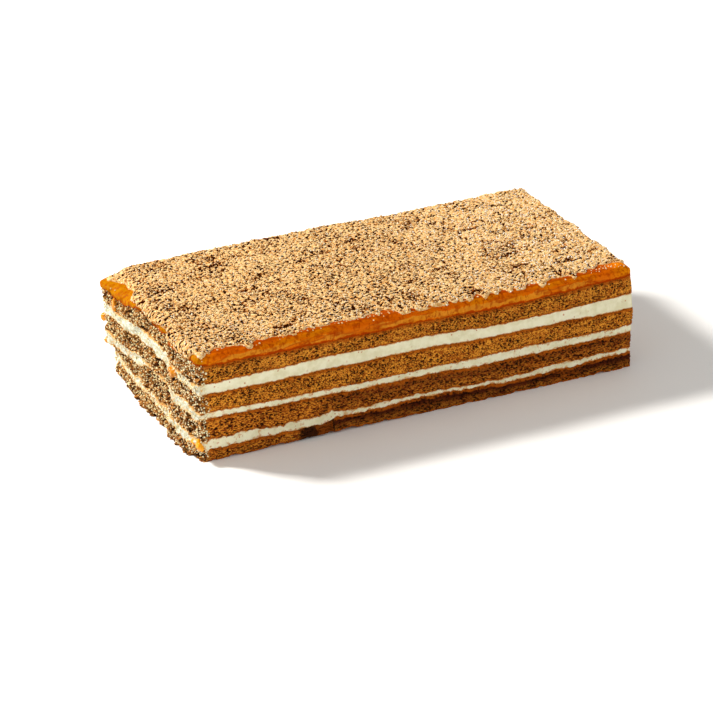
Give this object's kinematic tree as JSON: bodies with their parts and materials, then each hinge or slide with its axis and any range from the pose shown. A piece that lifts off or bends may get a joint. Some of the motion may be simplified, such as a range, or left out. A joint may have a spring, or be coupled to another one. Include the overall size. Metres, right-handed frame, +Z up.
{
  "type": "biscuit cake",
  "caption": "Oblong cut slab of layered biscuit cake: soaked sponge sheets with cream between them, caramel jelly on top and a coat of fine biscuit crumbs.",
  "frame": {"origin": "middle of the slab's outline, on the surface it stands on", "axes": "+X along the slab from its torn left end to its cut right end, -Y out of the front cut, +Z up"},
  "size_m": [0.2094, 0.1052, 0.0511],
  "materials": {
    "sponge": "open, fine-pored, moist sponge, darker towards the base",
    "cream": "satin, slightly pitted butter cream",
    "caramel_jelly": "glossy, slightly translucent caramel jelly",
    "biscuit_crumbs": "dry, matt biscuit crumbs"
  },
  "bodies": {
    "root": {"sponge_1": "sponge", "cream_1": "cream", "sponge_2": "sponge", "cream_2": "cream", "sponge_3": "sponge", "cream_3": "cream", "sponge_4": "sponge", "caramel_jelly": "caramel_jelly", "crumb_coat": "biscuit_crumbs"}
  },
  "joints": []
}
